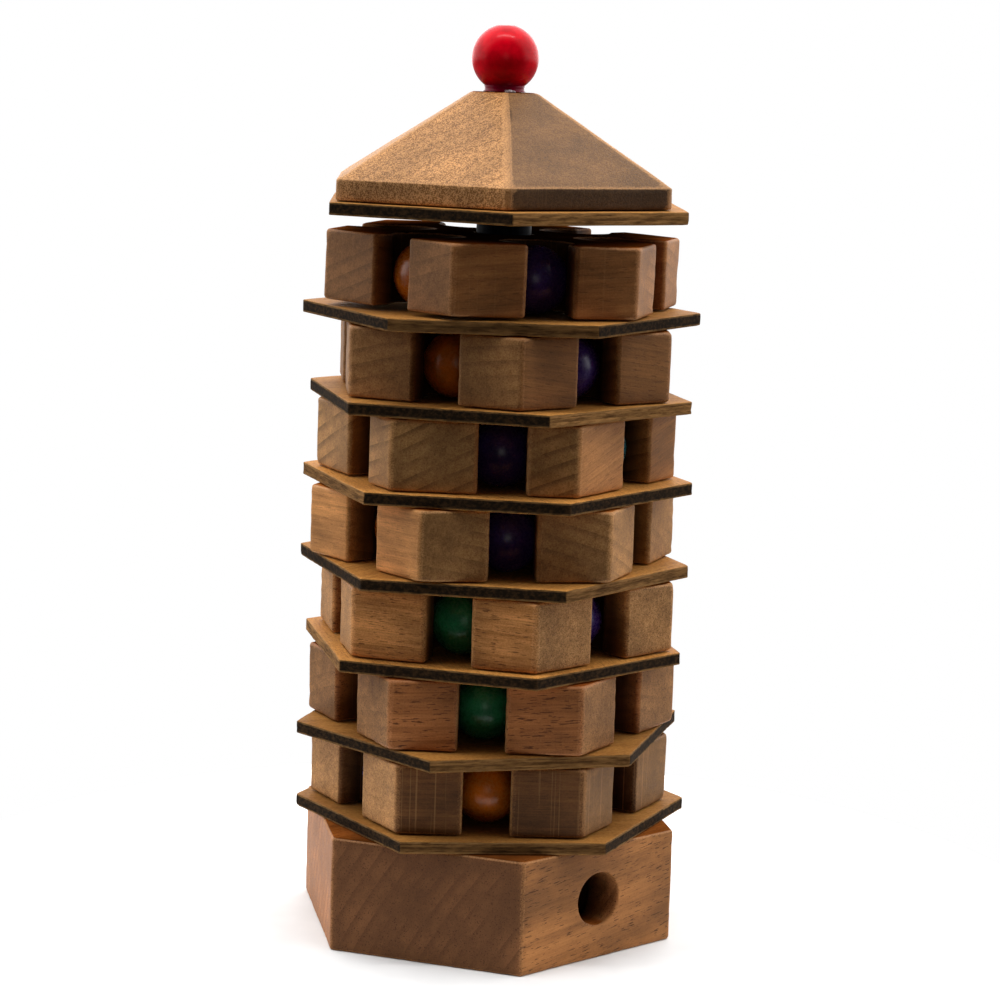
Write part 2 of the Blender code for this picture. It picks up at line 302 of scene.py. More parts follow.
def slotted_hexagon(middle, radius, turn, pockets, ring, pocket_radius):
    """A rotor's outline: a hexagon whose sides open into round pockets."""
    half = 0.5 * SLOT_WIDTH
    apothem = radius * math.cos(math.radians(0.5 * SECTOR))
    neck = ring + math.sqrt(pocket_radius ** 2 - half ** 2)
    mouth = math.degrees(math.asin(half / pocket_radius))
    corners = []
    for index in range(6):
        corner = middle + direction(turn + SECTOR * index) * radius
        corners.append((corner, ROTOR_TIP, ROTOR_ROUND, 1.0))
        face = direction(turn + SECTOR * (index + 0.5))
        facing = pockets[index]
        out = direction(facing)
        across = direction(facing + 90.0)
        sides = []
        for sign in (-1.0, 1.0):
            wall = across * (sign * half)
            reach = (apothem + middle.dot(face) - wall.dot(face)) / out.dot(face)
            sides.append((wall + out * reach, wall + out * neck))
        corners.append((sides[0][0], SLOT_TIP, SLOT_ROUND, 0.9))
        bowl = arc(out * ring, pocket_radius, facing - mouth, facing + mouth - 360.0, 40)
        corners += [(point, 0.0, SLOT_ROUND, 0.0) for point in bowl]
        corners.append((sides[1][0], SLOT_TIP, SLOT_ROUND, 0.9))
    return trace(corners)


# ---------------------------------------------------------------- solids from outlines

def inward(loop, index):
    """Unit vector into the wood at a point of a loop."""
    before = loop[index - 1][0]
    after = loop[(index + 1) % len(loop)][0]
    along = (after - before).normalized()
    return Vector((-along.y, along.x))


def profile_rows(low, high):
    """Rows up a side: (inset and height as shares of the rounding, from which end, wear)."""
    rows = []
    for angle in reversed(ROUND_STEPS):
        rows.append(("low", angle, math.sin(math.radians(2.0 * angle)) * 0.6 + 0.4))
    rows[0] = ("low", 90.0, 0.0)
    count = max(1, round((high - low - 2.0 * WORN_BAND) / ROW_STEP))
    for step in range(count + 1):
        rows.append(("side", step / count, 0.0))
    for angle in ROUND_STEPS:
        rows.append(("high", angle, math.sin(math.radians(2.0 * angle)) * 0.6 + 0.4))
    rows[-1] = ("high", 90.0, 0.0)
    return rows


def row_point(row, rounding, low, high):
    """(inset, height) of one row where the edge has this rounding."""
    end, value, _ = row
    if end == "side":
        band = min(WORN_BAND, 0.25 * (high - low))
        start = low + rounding + band
        stop = high - rounding - band
        return 0.0, start + (stop - start) * value
    angle = math.radians(value)
    inset = rounding * (1.0 - math.cos(angle))
    rise = rounding * (1.0 - math.sin(angle))
    return inset, low + rise if end == "low" else high - rise


def loft(loops, low, high):
    """A solid with rounded edges between two heights, as a bmesh with a wear layer."""
    shape = bmesh.new()
    wear_layer = shape.verts.layers.float.new("wear")
    rows = profile_rows(low, high)
    rims = {0: [], len(rows) - 1: []}
    for loop in loops:
        into = [inward(loop, index) for index in range(len(loop))]
        rings = []
        for row in rows:
            ring = []
            for (point, rounding, wear), normal in zip(loop, into):
                inset, height = row_point(row, rounding, low, high)
                place = point + normal * inset
                vertex = shape.verts.new((place.x, place.y, height))
                vertex[wear_layer] = max(row[2], 0.8 * wear)
                ring.append(vertex)
            rings.append(ring)
        count = len(loop)
        for lower, upper in zip(rings, rings[1:]):
            for index in range(count):
                after = (index + 1) % count
                shape.faces.new((lower[index], lower[after], upper[after], upper[index]))
        for row_index, rim in rims.items():
            ring = rings[row_index]
            rim += [shape.edges.get((ring[index - 1], ring[index])) for index in range(count)]
    for rim in rims.values():
        bmesh.ops.triangle_fill(shape, use_beauty=True, use_dissolve=False, edges=rim)
    bmesh.ops.recalc_face_normals(shape, faces=shape.faces)
    return shape


def weather(shape, seed):
    """Make the surfaces a little uneven, and nick the worn edges."""
    wear_layer = shape.verts.layers.float.get("wear")
    shape.normal_update()
    offset = Vector((seed * 0.137, seed * 0.071, seed * 0.213))
    moves = []
    for vertex in shape.verts:
        bend = noise.noise_vector(vertex.co / WARP_SIZE + offset) * WARP_DEPTH
        bend.z *= 0.4
        nick = max(0.0, noise.noise(vertex.co / NICK_SIZE + offset * 3.0)) * NICK_DEPTH
        moves.append(bend - vertex.normal * nick * vertex[wear_layer])
    for vertex, move in zip(shape.verts, moves):
        vertex.co += move


def turned(profile, segments):
    """A solid of revolution from (radius, height) points, top to bottom."""
    shape = bmesh.new()
    rings = []
    for radius, height in profile:
        if radius < 1e-7:
            rings.append([shape.verts.new((0.0, 0.0, height))])
            continue
        points = arc(Vector((0.0, 0.0)), radius, 0.0, 360.0 * (1.0 - 1.0 / segments), segments)
        rings.append([shape.verts.new((point.x, point.y, height)) for point in points])
    for upper, lower in zip(rings, rings[1:]):
        for index in range(segments):
            after = (index + 1) % segments
            face = [upper[index % len(upper)], upper[after % len(upper)],
                    lower[after % len(lower)], lower[index % len(lower)]]
            unique = list(dict.fromkeys(face))
            if len(unique) > 2:
                shape.faces.new(unique)
    bmesh.ops.recalc_face_normals(shape, faces=shape.faces)
    return shape


def lay_askew(shape, reach):
    """Tip a piece up on one side, with its opposite corner left at the height where it rests.

    Its top leans away from the raised side, so it is moved back half as far, and its bore
    clears the post by as much at the top as at the bottom."""
    raised = direction(LOOSE_SIDE)
    low = min(vertex.co.z for vertex in shape.verts)
    lean = (max(vertex.co.z for vertex in shape.verts) - low) * LOOSE_RISE
    pivot = Vector((-raised.x * reach, -raised.y * reach, low))
    axis = Vector((raised.y, -raised.x, 0.0))
    tip = Matrix.Rotation(math.atan(LOOSE_RISE), 4, axis)
    place = Matrix.Translation(pivot) @ tip @ Matrix.Translation(-pivot)
    centring = Matrix.Translation((0.5 * lean * raised.x, 0.5 * lean * raised.y, 0.0))
    bmesh.ops.transform(shape, matrix=centring @ place, verts=shape.verts)


def stain_of(middle, turn, tones):
    """How light the stain is at a place, by the side of the hexagon it is on."""
    def stain(place):
        spoke = place.to_2d() - middle
        step = (math.degrees(math.atan2(spoke.x, -spoke.y)) - turn) / SECTOR + 1.0
        corner = round(step)
        aside = math.radians((step - corner) * SECTOR) * spoke.length
        share = min(1.0, max(0.0, 0.5 + 0.5 * aside / STAIN_BLEND))
        before = tones[(corner - 1) % 3]
        after = tones[corner % 3]
        return before + (after - before) * share
    return stain


def paint(mesh, middle, radius, turn, stain):
    """Store the stain's lightness in the mesh, with painted shade that darkens it the deeper
    inside the outline.

    With a radius of zero, no place counts as inside."""
    sides = [direction(turn + SECTOR * (index + 0.5)) for index in range(6)]
    apothem = radius * math.cos(math.radians(0.5 * SECTOR))
    layer = mesh.attributes.new("stain", "FLOAT", "POINT")
    for vertex, value in zip(mesh.vertices, layer.data):
        spoke = vertex.co.to_2d() - middle
        depth = apothem - max(spoke.dot(side) for side in sides)
        # Painted shade: the deeper a place lies inside the outline, in slots, pockets and bores,
        # the darker its wood is made.
        share = min(1.0, max(0.0, (depth - INNER_SHADE_START) / INNER_SHADE_REACH))
        value.value = stain(vertex.co) * (1.0 + (INNER_SHADE - 1.0) * share)


def to_mesh(name, shape):
    mesh = bpy.data.meshes.new(name)
    shape.to_mesh(mesh)
    shape.free()
    mesh.shade_smooth()
    return mesh


def add_piece(name, mesh, material, body, nodes=()):
    """Link a piece, give it its look, attach it to its body and hide the CAD nodes it stands for.
    """
    piece = bpy.data.objects.new(name, mesh)
    bpy.context.scene.collection.objects.link(piece)
    mesh.materials.clear()
    mesh.materials.append(material)
    normals = piece.modifiers.new("even normals", "WEIGHTED_NORMAL")
    normals.keep_sharp = True
    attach(piece, body)
    if nodes:
        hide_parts(*nodes)
    return piece


# ---------------------------------------------------------------- materials

class Look:
    """A material's node tree, built one node at a time."""

    def __init__(self, name):
        self.material = bpy.data.materials.new(name)
        self.material.use_nodes = True
        self.tree = self.material.node_tree
        self.shader = self.tree.nodes["Principled BSDF"]
        self.coordinates = self.tree.nodes.new("ShaderNodeTexCoord")

    def put(self, socket, value):
        """Link a socket to another node's output, or set its value."""
        if isinstance(value, bpy.types.NodeSocket):
            self.tree.links.new(value, socket)
        elif isinstance(value, tuple) and len(value) == 3 and socket.type == "RGBA":
            socket.default_value = (*value, 1.0)
        else:
            socket.default_value = value

    def node(self, kind, inputs, **settings):
        node = self.tree.nodes.new(kind)
        for key, value in settings.items():
            setattr(node, key, value)
        for key, value in inputs.items():
            self.put(node.inputs[key], value)
        return node

    def mapped(self, vector, scale=(1.0, 1.0, 1.0), rotation=(0.0, 0.0, 0.0),
               location=(0.0, 0.0, 0.0), kind="POINT"):
        turns = tuple(math.radians(angle) for angle in rotation)
        inputs = {"Vector": vector, "Scale": scale, "Rotation": turns}
        if kind == "POINT":
            inputs["Location"] = location
        return self.node("ShaderNodeMapping", inputs, vector_type=kind).outputs[0]

    def noise(self, vector, detail=3.0, roughness=0.55, distortion=0.0):
        return self.node("ShaderNodeTexNoise", {
            "Vector": vector, "Scale": 1.0, "Detail": detail,
            "Roughness": roughness, "Distortion": distortion}).outputs[0]

    def span(self, value, low, high, to_low=0.0, to_high=1.0):
        """Map a range to another, clamped and eased."""
        return self.node("ShaderNodeMapRange", {
            "Value": value, "From Min": low, "From Max": high,
            "To Min": to_low, "To Max": to_high}, interpolation_type="SMOOTHSTEP").outputs[0]

    def calculate(self, operation, first, second=0.0):
        return self.node("ShaderNodeMath", {0: first, 1: second}, operation=operation).outputs[0]

    def add(self, first, second):
        return self.calculate("ADD", first, second)

    def minus(self, first, second):
        return self.calculate("SUBTRACT", first, second)

    def times(self, first, second):
        return self.calculate("MULTIPLY", first, second)

    def size_of(self, value):
        return self.calculate("ABSOLUTE", value)

    def blend(self, *parts):
        """The weighted sum of (value, weight) pairs."""
        total = None
        for value, weight in parts:
            share = self.times(value, weight)
            total = share if total is None else self.add(total, share)
        return total

    def mix(self, share, first, second):
        return self.node("ShaderNodeMix", {0: share, 6: first, 7: second},
                         data_type="RGBA").outputs[2]

    def between(self, share, first, second):
        """Like mix, for numbers."""
        return self.node("ShaderNodeMix", {0: share, 2: first, 3: second}).outputs[0]

    def attribute(self, name):
        return self.node("ShaderNodeAttribute", {}, attribute_name=name).outputs["Fac"]

    def split(self, vector):
        return self.node("ShaderNodeSeparateXYZ", {"Vector": vector}).outputs

    def bump(self, height, depth, strength=1.0, normal=None):
        inputs = {"Height": height, "Distance": depth, "Strength": strength}
        if normal is not None:
            inputs["Normal"] = normal
        return self.node("ShaderNodeBump", inputs).outputs[0]

    def finish(self, **inputs):
        for key, value in inputs.items():
            self.put(self.shader.inputs[key.replace("_", " ")], value)
        return self.material


def tinted(colour, tone, redness):
    """A wood colour made lighter or darker, and warmer."""
    red, green, blue = colour
    return (red * tone * (1.0 + 0.25 * redness), green * tone * (1.0 - 0.22 * redness),
            blue * tone * (1.0 - 0.15 * redness))


def hardwood(name, grain, slope, tone, redness, end_tone, end_redness, pores, scores, speckle,
             rings_shown, seed, end_band=(0.35, 0.85), heart=(37.0, 61.0)):
    """Stained hardwood, solid all through, its grain along one side of a hexagon."""
    look = Look(name)
    coordinates = look.coordinates.outputs
    shift = (17.3 * seed, 9.1 * seed, 5.7 * seed)
    level = look.mapped(coordinates["Object"], (1000.0,) * 3, (0.0, 0.0, -grain), shift)
    board = look.mapped(level, rotation=(0.0, slope, 0.0))
    facing = look.mapped(coordinates["Normal"], rotation=(0.0, 0.0, -grain), kind="VECTOR")
    end = look.span(look.size_of(look.split(facing)[0]), *end_band)

    fibre = look.noise(look.mapped(board, (0.08, 2.6, 2.6)), 4.0, 0.65)
    fine = 1.0 + 0.15 * max(0.0, speckle)
    speck = look.noise(look.mapped(board, (2.3 * fine, 2.8 * fine, 2.8 * fine)), 2.0, 0.75)
    grit = look.noise(look.mapped(board, (0.9, 1.2, 1.2)), 3.0, 0.6)
    streak = look.noise(look.mapped(board, (0.016, 0.42, 0.42)), 3.0, 0.55, 0.6)
    blotch = look.noise(look.mapped(board, (0.035, 0.08, 0.08)), 3.0, 0.6)
    pore = look.span(look.noise(look.mapped(board, (0.40, 3.3, 3.3)), 1.5, 0.5), 0.61, 0.66)
    rings = look.node("ShaderNodeTexWave", {
        "Vector": look.mapped(board, (0.25, 1.0, 1.0), location=(0.0, *heart)),
        "Scale": 0.095, "Distortion": 5.0, "Detail": 2.0, "Detail Scale": 0.09,
        "Detail Roughness": 0.5}, wave_type="RINGS", rings_direction="X",
        wave_profile="SAW").outputs[1]

    along = look.blend((fibre, 0.42), (streak, 0.30), (speck, 0.28))
    plain = 0.24 - 0.12 * max(0.0, speckle)
    across = look.blend((speck, 0.74 - plain), (grit, 0.26), (streak, plain))
    body = look.between(end, along, across)
    width = 0.25 - 0.16 * speckle
    ring = look.between(
        end, look.span(rings, 0.60, 1.0, 1.02, 0.86),
        look.span(rings, 0.40, 1.0, 1.0 + 0.3 * rings_shown, 1.0 - 1.6 * rings_shown))
    ring = look.between(look.span(blotch, 0.38, 0.60), 1.0, ring)
    dark = look.mix(end, tinted((0.183, 0.073, 0.019), tone, redness),
                    tinted((0.188, 0.083, 0.022), end_tone, end_redness))
    light = look.mix(end, tinted((0.427, 0.192, 0.060), tone, redness),
                     tinted((0.530, 0.274, 0.100), end_tone, end_redness))
    share = look.span(body, 0.5 - width, 0.5 + width)
    smooth = look.span(look.attribute("stain"), 0.30, 0.85, 0.55, 0.0)
    share = look.between(smooth, share, 0.5)
    colour = look.mix(share, dark, light)
    cloud = look.between(end, look.span(blotch, 0.32, 0.70, 0.60, 1.20),
                         look.span(blotch, 0.32, 0.70, 0.76, 1.14))
    # The stain attribute darkens the colour: each side's own stain, and painted shade inside
    # slots, pockets and bores.
    stain = look.times(look.times(cloud, ring), look.attribute("stain"))
    colour = look.node("ShaderNodeVectorMath", {0: colour, "Scale": stain},
                       operation="SCALE").outputs[0]
    top = look.span(look.split(facing)[2], 0.88, 0.99)
    # Upward faces darker and warmer: oil-darkened wood, and painted shade under the plate above
    upward_stain_and_shade = look.mix(top, (1.0, 1.0, 1.0), TOP_STAIN_AND_SHADE)
    colour = look.node("ShaderNodeVectorMath", {0: colour, 1: upward_stain_and_shade},
                       operation="MULTIPLY").outputs[0]
    colour = look.mix(look.times(pore, 0.8 * pores), colour,
                      tinted((0.050, 0.018, 0.006), tone, redness))
    finest = 0.69 - 0.05 * scores
    score = look.span(look.noise(look.mapped(level, (2.0, 0.10, 0.010)), 1.0),
                      finest, finest + 0.02)
    colour = look.mix(look.times(score, 0.30 * scores), colour, (0.42, 0.21, 0.08))
    worn = look.span(look.times(look.attribute("wear"), look.add(speck, 0.45)), 0.60, 1.05)
    colour = look.mix(look.times(worn, 0.55), colour,
                      tinted((0.55, 0.28, 0.11), 0.5 * (tone + end_tone), redness))

    relief = look.add(body, look.times(pore, -0.7 * pores))
    relief = look.add(relief, look.times(score, -0.4 * scores))
    return look.finish(
        Base_Color=colour,
        Roughness=look.span(body, 0.3, 0.7, 0.46, 0.64),
        Specular_IOR_Level=look.span(top, 0.0, 1.0, 0.14, 0.0),
        Normal=look.bump(relief, 0.16 * MM, 0.5 + 0.3 * speckle))


def plywood(name, grain, face_tone, edge_tone, low, thickness, seed):
    """Thin stained plywood with burnt edges; low is the height of its underside."""
    look = Look(name)
    coordinates = look.coordinates.outputs
    shift = (11.9 * seed, 6.3 * seed, 3.1 * seed)
    board = look.mapped(coordinates["Object"], (1000.0,) * 3, (0.0, 0.0, -grain), shift)
    facing = look.split(look.mapped(coordinates["Normal"], rotation=(0.0, 0.0, -grain),
                                    kind="VECTOR"))
    upright = look.size_of(facing[2])
    edge = look.span(upright, 0.80, 0.45)
    along = look.span(look.size_of(facing[1]), 0.70, 0.98)

    fibre = look.noise(look.mapped(board, (0.045, 1.9, 1.9)), 5.0, 0.62)
    streak = look.noise(look.mapped(board, (0.010, 0.30, 0.30)), 3.0, 0.5, 0.4)
    grime = look.noise(look.mapped(board, (0.35, 0.35, 0.35)), 4.0, 0.6)
    pore = look.span(look.noise(look.mapped(board, (0.22, 3.4, 3.4)), 1.0), 0.61, 0.69)
    body = look.blend((fibre, 0.45), (streak, 0.55))
    fuzz = look.noise(look.mapped(board, (1.2, 1.9, 1.9)), 3.0, 0.7)
    body = look.blend((body, 0.45), (fuzz, 0.55))
    skin = look.mix(look.span(body, 0.34, 0.66), tinted((0.270, 0.108, 0.022), face_tone, 0.0),
                    tinted((0.500, 0.232, 0.056), face_tone, 0.0))
    skin = look.mix(look.times(pore, 0.5), skin, (0.10, 0.040, 0.013))

    height = look.split(coordinates["Object"])[2]
    share = look.span(height, low, low + thickness)
    off_middle = look.size_of(look.minus(share, 0.5))
    skin_line = look.span(off_middle, 0.40, 0.47)
    char_noise = look.noise(look.mapped(board, (0.9, 0.9, 1.3)), 4.0, 0.65)
    charred = look.mix(look.span(char_noise, 0.38, 0.70), (0.011, 0.007, 0.004),
                       (0.046, 0.024, 0.010))
    core = look.span(off_middle, 0.13, 0.20)
    shred = look.noise(look.mapped(board, (0.22, 1.7, 1.7)), 4.0, 0.7)
    ply = look.times(look.span(look.blend((fibre, 0.35), (shred, 0.65)), 0.36, 0.66),
                   look.span(core, 0.0, 1.0, 0.66, 1.0))
    wood_edge = look.mix(ply, tinted((0.075, 0.034, 0.011), edge_tone, 0.0),
                         tinted((0.360, 0.180, 0.060), edge_tone, 0.0))
    burnt = look.mix(along, charred, wood_edge)
    burnt = look.mix(look.times(skin_line, look.span(grime, 0.3, 0.7, 0.15, 0.75)),
                     burnt, (0.28, 0.150, 0.055))
    worn = look.times(look.attribute("wear"), look.span(grime, 0.40, 0.75, 0.0, 0.7))
    skin = look.mix(worn, skin, (0.11, 0.052, 0.020))
    colour = look.mix(edge, skin, burnt)
    relief = look.add(fibre, look.times(pore, -0.8))
    return look.finish(
        Base_Color=colour,
        Roughness=look.span(edge, 0.0, 1.0, 0.60, 0.85),
        Specular_IOR_Level=0.05,
        Normal=look.bump(relief, 0.10 * MM, 0.6))


def lacquer(name, colour, roughness, specular, seed, shade_heights=None):
    """Bright paint on a turned bead, with a little orange peel and faint turning lines.

    Between the two heights of shade_heights, in mm, painted shade darkens it towards the lower
    one."""
    look = Look(name)
    shift = (3.1 * seed, 7.7 * seed, 5.3 * seed)
    point = look.mapped(look.coordinates.outputs["Object"], (1000.0,) * 3, location=shift)
    cloud = look.noise(look.mapped(point, (0.25,) * 3), 3.0)
    peel = look.noise(look.mapped(point, (1.3,) * 3), 2.0)
    grain = look.noise(look.mapped(point, (0.10, 2.6, 2.6)), 4.0, 0.6)
    deep = tuple(0.62 * channel for channel in colour)
    paint = look.mix(look.span(cloud, 0.30, 0.70), deep, colour)
    paint = look.mix(look.span(grain, 0.58, 0.72, 0.0, 0.35), paint, deep)
    # Painted shade under the knob's ball: a darker, bluer red down its neck.
    if shade_heights:
        height = look.times(look.split(look.coordinates.outputs["Object"])[2], 1000.0)
        share = look.span(height, *shade_heights, 1.0, 0.0)
        paint = look.mix(share, paint, (0.30 * colour[0], colour[1], 1.6 * colour[2]))
    relief = look.blend((peel, 0.6), (grain, 0.4))
    return look.finish(
        Base_Color=paint,
        Roughness=look.span(peel, 0.3, 0.7, roughness - 0.04, roughness + 0.06),
        Specular_IOR_Level=specular,
        Normal=look.bump(relief, 0.05 * MM, 0.32))


def dark_varnish():
    look = Look("dark varnish")
    point = look.mapped(look.coordinates.outputs["Object"], (1000.0,) * 3)
    grain = look.noise(look.mapped(point, (1.6, 1.6, 0.05)), 4.0, 0.6)
    lighter = tuple(1.8 * channel for channel in POST_VARNISH)
    colour = look.mix(look.span(grain, 0.4, 0.75), POST_VARNISH, lighter)
    return look.finish(Base_Color=colour, Roughness=look.span(grain, 0.3, 0.7, 0.34, 0.46),
                       Specular_IOR_Level=0.04,
                       Normal=look.bump(grain, 0.05 * MM, 0.3))


def dried_glue():
    look = Look("dried glue")
    point = look.mapped(look.coordinates.outputs["Object"], (1000.0,) * 3)
    cloud = look.noise(look.mapped(point, (1.4,) * 3), 3.0)
    colour = look.mix(look.span(cloud, 0.35, 0.7), (0.62, 0.50, 0.52), (0.88, 0.80, 0.84))
    return look.finish(Base_Color=colour, Roughness=0.35,
                       Normal=look.bump(cloud, 0.08 * MM, 0.4))


def paper_floor():
    look = Look("pale floor")
    point = look.mapped(look.coordinates.outputs["Object"], (60.0,) * 3)
    cloud = look.noise(point, 2.0)
    colour = look.mix(look.span(cloud, 0.3, 0.7), (0.74, 0.74, 0.74), (0.78, 0.78, 0.78))
    return look.finish(Base_Color=colour, Roughness=0.9)


# ---------------------------------------------------------------- pieces

def bore_loop():
    low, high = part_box("central_post")
    return circle(0.5 * (high[0] - low[0]) + BORE_CLEARANCE)


def make_rotor(level):
    node = f"rotor_{level}"
    middle, radius, turn, low, high = hexagon_of(node)
    balls = balls_of(level)
    first = middle_of(balls[0])
    ball_low, ball_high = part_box(balls[0])
    ball_radius = 0.5 * (ball_high[2] - ball_low[2])
    first_facing = math.degrees(math.atan2(first.x, -first.y))
    turn = same_corner(turn, first_facing + 0.5 * SECTOR)
    pockets = [first_facing + SECTOR * (index + 1) for index in range(6)]
    outline = slotted_hexagon(middle, radius, turn, pockets, first.to_2d().length,
                              ball_radius + POCKET_CLEARANCE)
    shape = loft([outline, bore_loop()], low - SETTLE, high - SETTLE)
    weather(shape, level)
    if level == max(LEVELS):
        lay_askew(shape, radius)
    side, *qualities = ROTOR_WOOD[level]
    wood = hardwood(f"rotor wood {level}", side_turn(turn, side), *qualities, level)
    mesh = to_mesh(node, shape)
    paint(mesh, middle, radius, turn, stain_of(middle, turn, SIDE_STAIN[level]))
    add_piece(f"wood_{node}", mesh, wood, node, [node])


def make_plate(node, body, qualities, number, holes):
    middle, radius, turn, low, high = hexagon_of(node)
    turn = same_corner(turn, PLATE_CORNER)
    outline = hexagon(middle, radius, turn, PLATE_TIP, PLATE_ROUND)
    loops = [outline, bore_loop()] + holes(turn)
    shape = loft(loops, low - SETTLE, high - SETTLE)
    weather(shape, PLATE_SEED + number)
    side, *tones = qualities
    wood = plywood(f"plywood {number}", side_turn(turn, side), *tones, low - SETTLE,
                   high - low, number)
    add_piece(f"wood_{node}", to_mesh(node, shape), wood, body, [node])


def ball_hole(turn):
    """The hole that lets a ball fall through, in the middle of the back."""
    ball = middle_of(balls_of(1)[0])
    low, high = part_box(balls_of(1)[0])
    radius = 0.5 * (high[2] - low[2]) + POCKET_CLEARANCE
    centre = direction(turn + 3.5 * SECTOR) * ball.to_2d().length
    points = arc(centre, radius, 360.0, 6.0, 60)
    return [[(point, PLATE_ROUND, 0.0) for point in points]]


def make_ball(node, level, seed):
    low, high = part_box(node)
    radius = 0.5 * (high[2] - low[2])
    steps = 24
    first = math.asin(BALL_FLAT)
    round_part = []
    for step in range(steps + 1):
        angle = first + (math.pi - 2.0 * first) * step / steps
        round_part.append((radius * math.sin(angle), radius * math.cos(angle)))
    dent = 0.02 * MM
    profile = [(0.0, round_part[0][1] - dent), *round_part, (0.0, round_part[-1][1] + dent)]
    shape = turned(profile, 48)
    spin = random.Random(seed)
    turns = [spin.uniform(-math.pi, math.pi) for _ in range(3)]
    place = Matrix.Translation(middle_of(node)) @ Matrix.Rotation(turns[0], 4, "X")
    place = place @ Matrix.Rotation(turns[1], 4, "Z") @ Matrix.Rotation(turns[2], 4, "Y")
    bmesh.ops.transform(shape, matrix=place, verts=shape.verts)
    slot = slot_of(node)
    add_piece(f"bead_{node}", to_mesh(node, shape), ball_lacquer(slot), f"rotor_{level}",
              [node])


def slot_of(node):
    """The material slot that the record gives a node."""
    for subpart in frame["record"]["subparts"]:
        if subpart["node"] == node:
            return subpart["material_slot"]
    raise ValueError(node)


def ball_lacquer(slot):
    name = slot.replace("_", " ")
    existing = bpy.data.materials.get(name)
    if existing:
        return existing
    return lacquer(name, BALL_COLOURS[slot], BALL_ROUGHNESS, BALL_SPECULAR, len(name))


def cutter(shape):
    item = bpy.data.objects.new("cutter", to_mesh("cutter", shape))
    bpy.context.scene.collection.objects.link(item)
    return item


def cut_out(mesh, shapes):
    """A mesh with other solids taken away from it."""
    item = bpy.data.objects.new("cut", mesh)
    bpy.context.scene.collection.objects.link(item)
    cutters = [cutter(shape) for shape in shapes]
    for tool in cutters:
        boolean = item.modifiers.new("cut", "BOOLEAN")
        boolean.object = tool
        boolean.solver = "EXACT"
    graph = bpy.context.evaluated_depsgraph_get()
    result = bpy.data.meshes.new_from_object(item.evaluated_get(graph))
    for used in cutters + [item]:
        bpy.data.objects.remove(used, do_unlink=True)
    return result


def post_socket(depth_low, depth_high):
    low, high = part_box("central_post")
    radius = 0.5 * (high[0] - low[0]) + BORE_CLEARANCE
    profile = [(0.0, depth_high), (radius, depth_high), (radius, depth_low), (0.0, depth_low)]
    return turned(profile, 64)


def make_base():
    middle, radius, turn, low, high = hexagon_of("base_block")
    turn = same_corner(turn, BASE_CORNER)
    outline = hexagon(middle, radius, turn, BLOCK_TIP, BLOCK_ROUND)
    shape = loft([outline], low, high)
    weather(shape, BASE_SEED)
    for vertex in shape.verts:
        vertex.co.z = max(vertex.co.z, low + TABLE_CLEARANCE)
    facing = side_turn(turn, 2)
    ring = middle_of(balls_of(1)[0]).to_2d().length
    ball_low, ball_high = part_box(balls_of(1)[0])
    recess_radius = 0.5 * (ball_high[2] - ball_low[2]) + POCKET_CLEARANCE
    top = high + 2.0 * MM
    recess = turned([(0.0, top), (recess_radius, top), (recess_radius, RECESS_FLOOR),
                     (0.0, RECESS_FLOOR)], 64)
    centre = direction(facing) * ring
    bmesh.ops.translate(recess, vec=(centre.x, centre.y, 0.0), verts=recess.verts)

    face = radius * math.cos(math.radians(0.5 * SECTOR))
    flare = WINDOW_RADIUS + RIM_CHAMFER
    tunnel = turned([
        (0.0, face + 2.0 * MM), (flare + 2.0 * MM, face + 2.0 * MM), (flare, face + 0.02 * MM),
        (WINDOW_RADIUS + 0.1 * MM, face - 0.7 * RIM_CHAMFER),
        (WINDOW_RADIUS, face - 2.0 * RIM_CHAMFER), (WINDOW_RADIUS, ring), (0.0, ring)], 72)
    lay = Matrix.Rotation(math.radians(facing), 4, "Z") @ Matrix.Rotation(math.pi / 2.0, 4, "X")
    lift = Matrix.Translation((0.0, 0.0, WINDOW_HEIGHT))
    bmesh.ops.transform(tunnel, matrix=lift @ lay, verts=tunnel.verts)
    post_low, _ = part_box("central_post")
    socket = post_socket(post_low[2] - BORE_CLEARANCE, top)
    mesh = cut_out(to_mesh("base_block", shape), [recess, tunnel, socket])
    mesh.shade_smooth()
    mesh.set_sharp_from_angle(angle=math.radians(50.0))
    paint(mesh, middle, radius, turn, stain_of(middle, turn, BASE_STAIN))
    side, *qualities = BASE_WOOD
    wood = hardwood("base wood", side_turn(turn, side), *qualities, BASE_WOOD_SEED,
                    heart=BASE_HEART)
    add_piece("wood_base_block", mesh, wood, "frame", ["base_block"])


def roof_rows(radius, crown, low, slab, high):
    """(radius, height, wear) up the roof's side, slope and crown."""
    soft = ROOF_ROUND
    rows = [(radius - soft, low, 0.0), (radius - 0.15 * MM, low + 0.25 * soft, 0.7),
            (radius, low + soft, 0.4), (radius, low + 2.0 * soft, 0.0),
            (radius, slab - 2.0 * soft, 0.0), (radius, slab - 0.5 * soft, 0.7),
            (radius - 0.35 * soft, slab + 0.1 * soft, 1.0),
            (radius - 2.0 * soft, slab + 1.0 * soft, 0.7)]
    steps = 12
    start = radius - 4.0 * soft
    rise = (high - slab) / (radius - crown)
    for step in range(steps + 1):
        along = start + (crown + soft - start) * step / steps
        wear = 0.5 if step == steps else 0.0
        rows.append((along, slab + (radius - along) * rise, wear))
    rows.append((crown, high - 0.25 * soft, 0.9))
    rows.append((crown - soft, high, 0.3))
    return rows


